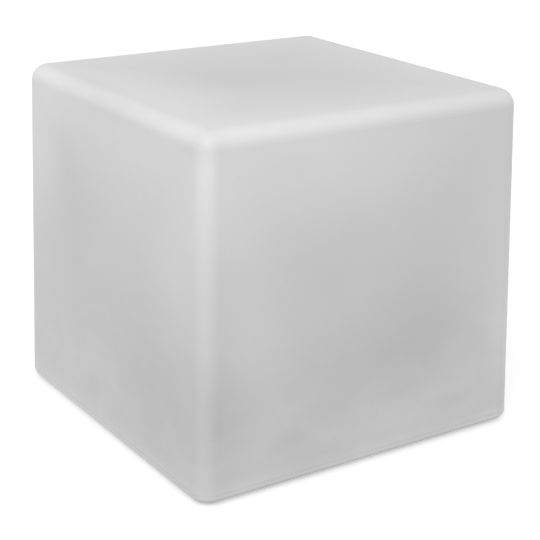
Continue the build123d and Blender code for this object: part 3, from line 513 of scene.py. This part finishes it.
def boardMaterial(name, look):
    material, tree, shader, coords = startMaterial(name)
    wear = boardWear
    traces = ringTraces(tree, coords) if look["rings"] else gridTraces(tree, coords)
    pads = scatteredDots(tree, coords, **wear["pads"], voronoi_dimensions="2D")
    deep, pale = (shade(look["mask"], factor) for factor in wear["lacquerShades"])
    body = tint(tree, clouds(tree, coords, **wear["lacquer"]), deep, pale)
    body = tint(tree, traces, body, shade(look["trace"]))
    body = tint(tree, pads, body, shade(look["pad"]))
    rough = remap(tree, clouds(tree, coords, **wear["gloss"]), *wear["roughRange"])
    connect(tree, shader, body, rough, bump(tree, larger(tree, traces, pads), wear["relief"]))
    shader.inputs["Coat Weight"].default_value = wear["coat"]
    return material


dressAll(boardLooks, boardMaterial)


lampLooks = {"lampPhosphor": {
    "nodes": ("led_chips", "indicator_lamp"),
    "rim": (0.78, 0.77, 0.72),
    "phosphor": (0.80, 0.62, 0.16),
    "grain": {"scale": 2200.0, "detail": 3.0, "rough": 0.6},
    "grainRange": (0.35, 0.65),
    "roughRange": (0.3, 0.7, 0.22, 0.4),
    "depth": 0.00003,
}}


def lampMaterial(name, look):
    material, tree, shader, coords = startMaterial(name)
    grain = clouds(tree, coords, **look["grain"])
    body = tint(tree, remap(tree, grain, *look["grainRange"]), shade(look["rim"]), shade(look["phosphor"]))
    connect(tree, shader, body, remap(tree, grain, *look["roughRange"]), bump(tree, grain, look["depth"]))
    return material


dressAll(lampLooks, lampMaterial)


clearLooks = {
    "clearDome": {"colour": (0.93, 0.94, 0.95), "rough": 0.10, "nodes": ("diffuser_dome",)},
    "clearLens": {"colour": (0.80, 0.80, 0.80), "rough": 0.22, "nodes": ("indicator_lens",)},
}

clearWear = {
    "haze": {"scale": 35.0, "detail": 4.0, "rough": 0.6},
    "hazeShades": (0.96, 1.04),
    "roughRange": (0.3, 0.7),
    "smoother": 0.7,           # here both are factors of that roughness
    "rougher": 1.5,
    "grainSize": 700.0,
    "grainDepth": 0.00002,
    "transmission": 0.9,
    "ior": 1.49,
}


def clearMaterial(name, look):
    material, tree, shader, coords = startMaterial(name)
    wear = clearWear
    haze = clouds(tree, coords, **wear["haze"])
    deep, pale = (shade(look["colour"], factor) for factor in wear["hazeShades"])
    smooth, dull = look["rough"] * wear["smoother"], look["rough"] * wear["rougher"]
    rough = remap(tree, haze, *wear["roughRange"], smooth, dull)
    grain = bump(tree, clouds(tree, coords, wear["grainSize"]), wear["grainDepth"])
    connect(tree, shader, tint(tree, haze, deep, pale), rough, grain)
    shader.inputs["Transmission Weight"].default_value = wear["transmission"]
    shader.inputs["IOR"].default_value = wear["ior"]
    return material


dressAll(clearLooks, clearMaterial)
print("boards, lamps and clear parts dressed")


# raised marks on the underside: plain shapes, no lettering

markLook = {
    "height": 0.00035,
    "sunk": 0.0001,            # start of a mark inside the part that it is moulded on
    "round": 0.00010,
    "roundSteps": 2,
    "startAngle": 90.0,        # where the pointer and the closed dot meet
}


def polar(radius, angle, centre=(0.0, 0.0)):
    turn = math.radians(angle)
    return (centre[0] + radius * math.cos(turn), centre[1] + radius * math.sin(turn))


def circleOutline(radius, centre, steps=40):
    return [polar(radius, 360.0 * i / steps, centre) for i in range(steps)]


def bandOutline(radius, width, first, last, centre=(0.0, 0.0), steps=32):
    angles = [first + (last - first) * i / steps for i in range(steps + 1)]
    outer = [polar(radius + width / 2, angle, centre) for angle in angles]
    return outer + [polar(radius - width / 2, angle, centre) for angle in reversed(angles)]


def boxOutline(length, width, centre):
    corners = [(-0.5, -0.5), (0.5, -0.5), (0.5, 0.5), (-0.5, 0.5)]
    return [(centre[0] + a * length, centre[1] + b * width) for a, b in corners]


def markMesh(name, outlines, faceZ):
    look = markLook
    curve = bpy.data.curves.new(name, "CURVE")
    curve.dimensions = "2D"
    curve.fill_mode = "BOTH"
    depth = look["height"] + look["sunk"]
    curve.extrude = depth / 2 - look["round"]
    curve.bevel_depth = look["round"]
    curve.bevel_resolution = look["roundSteps"]
    for outline in outlines:
        spline = curve.splines.new("POLY")
        spline.points.add(len(outline) - 1)
        for point, (x, y) in zip(spline.points, outline):
            point.co = (x, y, 0.0, 1.0)
        spline.use_cyclic_u = True
    shaper = bpy.data.objects.new(name + "Shape", curve)
    bpy.context.scene.collection.objects.link(shaper)
    bpy.context.view_layer.update()
    mesh = bpy.data.meshes.new_from_object(shaper.evaluated_get(bpy.context.evaluated_depsgraph_get()))
    bpy.data.objects.remove(shaper)
    mesh.transform(Matrix.Translation((0.0, 0.0, faceZ - look["height"] + depth / 2)))
    mesh.name = name
    return mesh


def raiseMark(name, outlines, faceZ, body, slotName, like):
    mesh = markMesh(name, outlines, faceZ)
    mesh.materials.clear()
    mesh.materials.append(nodes[like].data.materials[0])
    piece = bpy.data.objects.new(name, mesh)
    bpy.context.scene.collection.objects.link(piece)
    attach(piece, body)


arrowLook = {
    "on": {"faceZ": 0.005, "body": "light_module", "slotName": "module_plastic", "like": "module_base"},
    "middles": (90.0, 270.0),  # angles from the start
    "radius": 0.093,
    "width": 0.0028,
    "span": 46.0,
    "headSpan": 5.0,
    "headHalf": 1.5,           # in widths of the arrow
}


def arrowOutline(middle):
    # a band that ends in a point
    look = arrowLook
    radius, width = look["radius"], look["width"]
    first, last = middle + look["span"] / 2, middle - look["span"] / 2
    neck = last + look["headSpan"]
    wing = width * look["headHalf"]
    band = bandOutline(radius, width, first, neck)
    half = len(band) // 2
    head = [polar(radius + wing, neck), polar(radius, last), polar(radius - wing, neck)]
    return band[:half] + head + band[half:]


def makeTurnArrows():
    arrows = [arrowOutline(markLook["startAngle"] + middle) for middle in arrowLook["middles"]]
    raiseMark("turnArrows", arrows, **arrowLook["on"])


dotLook = {
    "on": {"faceZ": 0.005, "body": "light_module", "slotName": "module_plastic", "like": "module_base"},
    "distance": 0.101,         # from the middle of the cap
    "closed": 0.0026,
    "openOuter": 0.0028,
    "openInner": 0.0017,
    "openTurn": 25.0,
}


def makeLockDots():
    # a full dot for closed, and a ring for open
    look = dotLook
    closed = polar(look["distance"], markLook["startAngle"])
    opened = polar(look["distance"], markLook["startAngle"] + look["openTurn"])
    dots = [circleOutline(look["closed"], closed), circleOutline(look["openOuter"], opened),
            circleOutline(look["openInner"], opened)]
    raiseMark("lockDots", dots, **look["on"])


pointerLook = {
    "on": {"faceZ": 0.002, "body": "shell", "slotName": "shell", "like": "cube_shell"},
    "tip": 0.1165,
    "foot": 0.1235,
    "halfAngle": 1.9,
}


def makeLockPointer():
    look = pointerLook
    angle, half = markLook["startAngle"], look["halfAngle"]
    feet = [polar(look["foot"], angle - half), polar(look["foot"], angle + half)]
    raiseMark("lockPointer", [[polar(look["tip"], angle)] + feet], **look["on"])


ribLook = {
    "on": {"faceZ": 0.005, "body": "light_module", "slotName": "module_plastic", "like": "grip_cup"},
    "count": 5,
    "length": 0.058,
    "width": 0.0009,
    "pitch": 0.0022,
}


def makeGripRibs():
    look = ribLook
    first = -look["pitch"] * (look["count"] - 1) / 2
    places = [first + look["pitch"] * i for i in range(look["count"])]
    ribs = [boxOutline(look["length"], look["width"], (0.0, y)) for y in places]
    raiseMark("gripRibs", ribs, **look["on"])


powerLook = {
    "on": {"faceZ": 0.004, "body": "button", "slotName": "button_rubber", "like": "power_button"},
    "centre": (0.0, -0.056),
    "radius": 0.0036,
    "width": 0.0008,
    "arc": (-60.0, 240.0),     # angles between which the ring runs
    "barLength": 0.0038,
    "barOffset": 0.0029,
}


def makePowerSymbol():
    # a ring with a gap, and a bar in the gap
    look = powerLook
    x, y = look["centre"]
    ring = bandOutline(look["radius"], look["width"], *look["arc"], look["centre"])
    bar = boxOutline(look["width"], look["barLength"], (x, y - look["barOffset"]))
    raiseMark("powerSymbol", [ring, bar], **look["on"])


plugRingLook = {
    "on": {"faceZ": 0.0044, "body": "socket_plug", "slotName": "plug_rubber", "like": "charge_plug"},
    "centre": (0.0, 0.056),
    "outer": 0.0064,
    "inner": 0.0055,
}


def makePlugRing():
    look = plugRingLook
    circles = [circleOutline(radius, look["centre"]) for radius in (look["outer"], look["inner"])]
    raiseMark("plugRing", circles, **look["on"])


makeTurnArrows()
makeLockDots()
makeLockPointer()
makeGripRibs()
makePowerSymbol()
makePlugRing()
print("underside marks raised")


# floor, world, lamps and camera

floorLook = {
    "size": 14.0,
    "cells": 8,
    "seen": 0.80,
    "glow": 0.42,
    "bounce": 0.52,
    "nearRay": 0.030,
    "firstBounces": 1.5,       # rays that have bounced less often than this
}


def seenDirectly(tree, path):
    return larger(tree, *(path.outputs[f"Is {ray} Ray"] for ray in ("Camera", "Glossy", "Transmission")))


def seenThrough(tree, path):
    # clear from below, and for the short rays that light the underside
    near = calc(tree, "LESS_THAN", path.outputs["Ray Length"], floorLook["nearRay"])
    early = calc(tree, "LESS_THAN", path.outputs["Diffuse Depth"], floorLook["firstBounces"])
    unseen = calc(tree, "SUBTRACT", 1.0, path.outputs["Is Camera Ray"])
    return larger(tree, addNode(tree, "NewGeometry").outputs["Backfacing"], times(tree, near, early, unseen))


def paperMaterial():
    look = floorLook
    material = bpy.data.materials.new("palePaper")
    material.use_nodes = True
    tree = material.node_tree
    tree.nodes.remove(tree.nodes["Principled BSDF"])
    path = addNode(tree, "LightPath")
    seen = seenDirectly(tree, path)
    colour = tint(tree, seen, grey(look["bounce"]), grey(look["seen"]))
    paper = addNode(tree, "BsdfDiffuse", {"Color": colour}).outputs[0]
    strength = times(tree, seen, look["glow"])
    glow = addNode(tree, "Emission", {"Color": grey(1.0), "Strength": strength}).outputs[0]
    lit = addNode(tree, "AddShader", {0: paper, 1: glow}).outputs[0]
    clear = addNode(tree, "BsdfTransparent").outputs[0]
    surface = addNode(tree, "MixShader", {0: seenThrough(tree, path), 1: lit, 2: clear}).outputs[0]
    tree.links.new(surface, tree.nodes["Material Output"].inputs["Surface"])
    return material


def makeFloor():
    cells = floorLook["cells"]
    bpy.ops.mesh.primitive_grid_add(x_subdivisions=cells, y_subdivisions=cells, size=floorLook["size"],
                                    location=(0, 0, 0))
    floor = bpy.context.object
    floor.name = "studioFloor"
    floor.data.materials.append(paperMaterial())


worldLook = {
    "horizon": 1.17,
    "zenith": 0.66,
    "zenithHeight": 0.9,
    "below": 0.80,
    "seen": 1.0,
}


def makeWorld():
    look = worldLook
    world = bpy.data.worlds.new("studioRoom")
    bpy.context.scene.world = world
    world.use_nodes = True
    tree = world.node_tree
    seen = seenDirectly(tree, addNode(tree, "LightPath"))
    direction = addNode(tree, "TexCoord").outputs["Generated"]
    height = addNode(tree, "SeparateXYZ", {"Vector": direction}).outputs["Z"]
    above = remap(tree, height, 0.0, look["zenithHeight"], look["horizon"], look["zenith"])
    room = between(tree, calc(tree, "LESS_THAN", height, 0.0), above, look["below"])
    back = tree.nodes["Background"]
    back.inputs["Color"].default_value = grey(1.0)
    tree.links.new(between(tree, seen, room, look["seen"]), back.inputs["Strength"])


softboxLooks = {
    "cornerSoftbox": {"place": (-0.85, -0.9, 1.15), "target": (-0.14, -0.16, 0.38),
                      "size": 0.6, "power": 5.2},
    "leftSoftbox": {"place": (-1.25, 0.85, 0.85), "target": (-0.21, 0.17, 0.30),
                    "size": 0.6, "power": 1.0},
}


def makeSoftbox(name, look):
    lamp = bpy.data.lights.new(name, "AREA")
    lamp.shape = "DISK"
    lamp.size = look["size"]
    lamp.energy = look["power"]
    holder = bpy.data.objects.new(name, lamp)
    bpy.context.scene.collection.objects.link(holder)
    holder.location = look["place"]
    holder.rotation_mode = "QUATERNION"
    holder.rotation_quaternion = (Vector(look["target"]) - Vector(look["place"])).to_track_quat("-Z", "Y")


cameraLook = {
    "sensor": 36.0,
    "lens": 95.63,
    "azimuth": -33.382,
    "elevation": 19.348,
    "roll": 0.696,
    "distance": 1.7257,
    "target": (0.00898, 0.0, 0.16185),
    "clip": (0.05, 60.0),
}


def makeCamera():
    look = cameraLook
    camera = bpy.data.objects.new("studioCamera", bpy.data.cameras.new("studioCamera"))
    bpy.context.scene.collection.objects.link(camera)
    camera.data.sensor_width = look["sensor"]
    camera.data.lens = look["lens"]
    camera.data.clip_start, camera.data.clip_end = look["clip"]
    turn, lift, roll = (math.radians(look[key]) for key in ("azimuth", "elevation", "roll"))
    back = Vector((math.sin(turn) * math.cos(lift), -math.cos(turn) * math.cos(lift), math.sin(lift)))
    right = Vector((math.cos(turn), math.sin(turn), 0.0))
    up = back.cross(right)
    tiltedRight = right * math.cos(roll) + up * math.sin(roll)
    tiltedUp = up * math.cos(roll) - right * math.sin(roll)
    spin = Matrix((tiltedRight, tiltedUp, back)).transposed().to_4x4()
    camera.matrix_world = Matrix.Translation(Vector(look["target"]) + back * look["distance"]) @ spin
    bpy.context.scene.camera = camera


makeFloor()
makeWorld()
for name, look in softboxLooks.items():
    makeSoftbox(name, look)
makeCamera()
bpy.context.scene.view_settings.view_transform = "Standard"
print("studio ready")

bare = [name for name in nodes if not any(slot.material for slot in nodes[name].material_slots)]
print("nodes without a finish:", bare)
